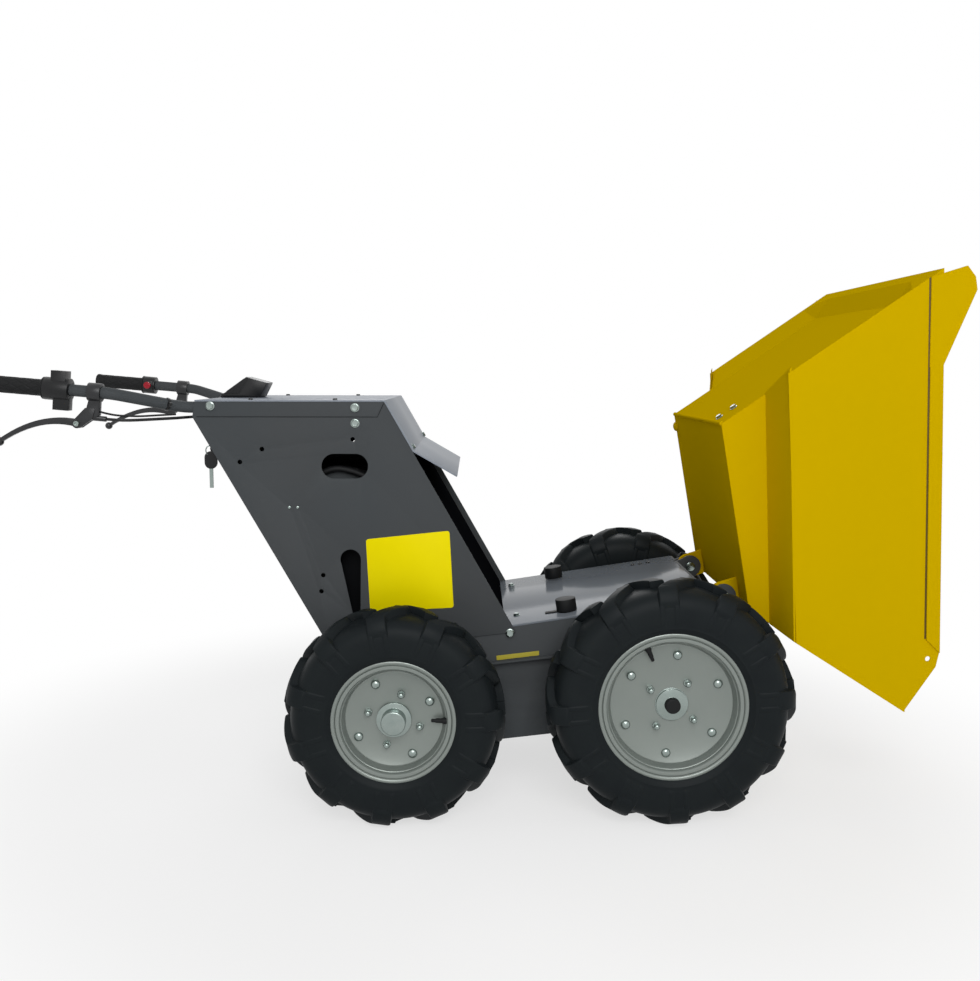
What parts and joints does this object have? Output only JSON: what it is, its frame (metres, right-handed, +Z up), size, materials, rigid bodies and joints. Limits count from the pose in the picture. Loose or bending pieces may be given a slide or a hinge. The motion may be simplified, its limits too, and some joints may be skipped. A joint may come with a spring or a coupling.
{
  "type": "walk-behind electric site dumper",
  "caption": "Walk-behind electric site dumper with lugged wheels, a slanted handlebar console and a steel skip that tips forwards over the front axle.",
  "frame": {"origin": "on the ground below the middle of the whole machine's box", "axes": "+X forwards, the way it drives and tips, +Y to the machine's left, +Z up"},
  "size_m": [1.8238, 0.7408, 1.0518],
  "materials": {
    "skip_paint": "gloss yellow paint",
    "grey_paint": "satin dark grey powder coat",
    "cover_paint": "satin light grey powder coat",
    "rim_paint": "satin silver grey paint",
    "zinc": "bright zinc plate",
    "tyre": "matt black rubber",
    "rubber": "matt black rubber",
    "black_plastic": "grained black plastic",
    "red_plastic": "gloss red",
    "lever_metal": "black painted casting",
    "battery_case": "moulded case",
    "drive_iron": "painted casting"
  },
  "bodies": {
    "chassis": {"front_axle": "grey_paint", "rear_axle": "grey_paint", "chassis_rail_right": "grey_paint", "chassis_rail_left": "grey_paint", "belly_pan": "grey_paint", "front_crossmember": "grey_paint", "console_side_right": "grey_paint", "console_side_left": "grey_paint", "console_rear_panel": "grey_paint", "console_front_panel": "grey_paint", "handlebar_right": "grey_paint", "handlebar_left": "grey_paint", "deck": "cover_paint", "console_cover": "cover_paint", "hinge_pins": "zinc", "drive_unit": "drive_iron", "battery_pack": "battery_case", "bin_buffers": "rubber", "grips": "rubber", "display": "black_plastic", "key_switch": "black_plastic", "switch_pod_right": "black_plastic", "switch_pod_left": "black_plastic", "brake_cables": "black_plastic", "stop_button": "red_plastic", "brake_perches": "lever_metal", "brake_levers": "lever_metal"},
    "front_right_wheel": {"front_right_tyre": "tyre", "front_right_rim": "rim_paint", "front_right_hub": "zinc"},
    "front_left_wheel": {"front_left_tyre": "tyre", "front_left_rim": "rim_paint", "front_left_hub": "zinc"},
    "rear_right_wheel": {"rear_right_tyre": "tyre", "rear_right_rim": "rim_paint", "rear_right_hub": "zinc"},
    "rear_left_wheel": {"rear_left_tyre": "tyre", "rear_left_rim": "rim_paint", "rear_left_hub": "zinc"},
    "skip": {"bin_floor": "skip_paint", "bin_front_wall": "skip_paint", "bin_rear_wall": "skip_paint", "bin_side_right": "skip_paint", "bin_side_left": "skip_paint", "bin_rim": "skip_paint", "bin_brackets": "skip_paint"}
  },
  "joints": [
    {"name": "front_right_wheel_spin", "type": "hinge", "parent": "chassis", "child": "front_right_wheel", "pos_m": [0.3655, -0.315, 0.237], "axis": [0, 1, 0], "continuous": true},
    {"name": "front_left_wheel_spin", "type": "hinge", "parent": "chassis", "child": "front_left_wheel", "pos_m": [0.3655, 0.315, 0.237], "axis": [0, 1, 0], "continuous": true},
    {"name": "rear_right_wheel_spin", "type": "hinge", "parent": "chassis", "child": "rear_right_wheel", "pos_m": [-0.1565, -0.315, 0.21], "axis": [0, 1, 0], "continuous": true},
    {"name": "rear_left_wheel_spin", "type": "hinge", "parent": "chassis", "child": "rear_left_wheel", "pos_m": [-0.1565, 0.315, 0.21], "axis": [0, 1, 0], "continuous": true},
    {"name": "skip_tip", "type": "hinge", "parent": "chassis", "child": "skip", "pos_m": [0.4985, 0, 0.408], "axis": [0, 1, 0], "range_deg": [-85, 0]}
  ]
}
